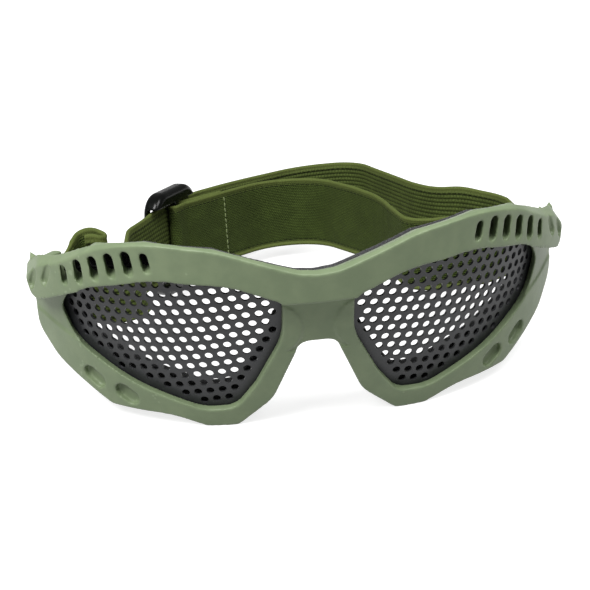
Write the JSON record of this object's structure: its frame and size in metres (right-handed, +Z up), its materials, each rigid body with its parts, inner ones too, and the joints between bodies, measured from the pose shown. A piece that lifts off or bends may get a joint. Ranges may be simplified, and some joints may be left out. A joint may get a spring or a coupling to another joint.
{
  "type": "mesh safety goggles",
  "caption": "Wrap-around safety goggles with perforated steel lenses, a moulded frame with brow vents, face foam and an elastic strap with a slider.",
  "frame": {"origin": "centre of the bounding box's base, on the table the goggles rest on", "axes": "+X to the right of someone facing the lenses, +Y from the lenses to the back of the strap, +Z up"},
  "size_m": [0.1802, 0.1554, 0.0717],
  "materials": {
    "frame_plastic": "satin",
    "mesh_steel": "satin black paint",
    "ring_plastic": "matt",
    "foam": "open cell foam",
    "elastic": "ribbed elastic webbing",
    "slider_plastic": "glossy"
  },
  "bodies": {
    "goggles": {"frame": "frame_plastic", "lens_mesh_left": "mesh_steel", "lens_mesh_right": "mesh_steel", "lens_retainer_left": "ring_plastic", "lens_retainer_right": "ring_plastic", "foam_brow": "foam", "foam_lower_left": "foam", "foam_lower_right": "foam", "strap_loop_left": "elastic", "strap_wrap_right": "elastic"},
    "strap": {"strap_outer_run": "elastic", "strap_inner_run": "elastic"},
    "strap_slider": {"slider": "slider_plastic", "slider_sewn_loop": "elastic"}
  },
  "joints": [
    {"name": "strap_swing", "type": "hinge", "parent": "goggles", "child": "strap", "pos_m": [0, -0.0117, 0.0319], "axis": [1, 0, 0], "range_deg": [-45, 75]},
    {"name": "slider_slide", "type": "slide", "parent": "strap", "child": "strap_slider", "axis": [-0.5259, -0.8303, 0.1843], "range_m": [0, 0.01]}
  ]
}
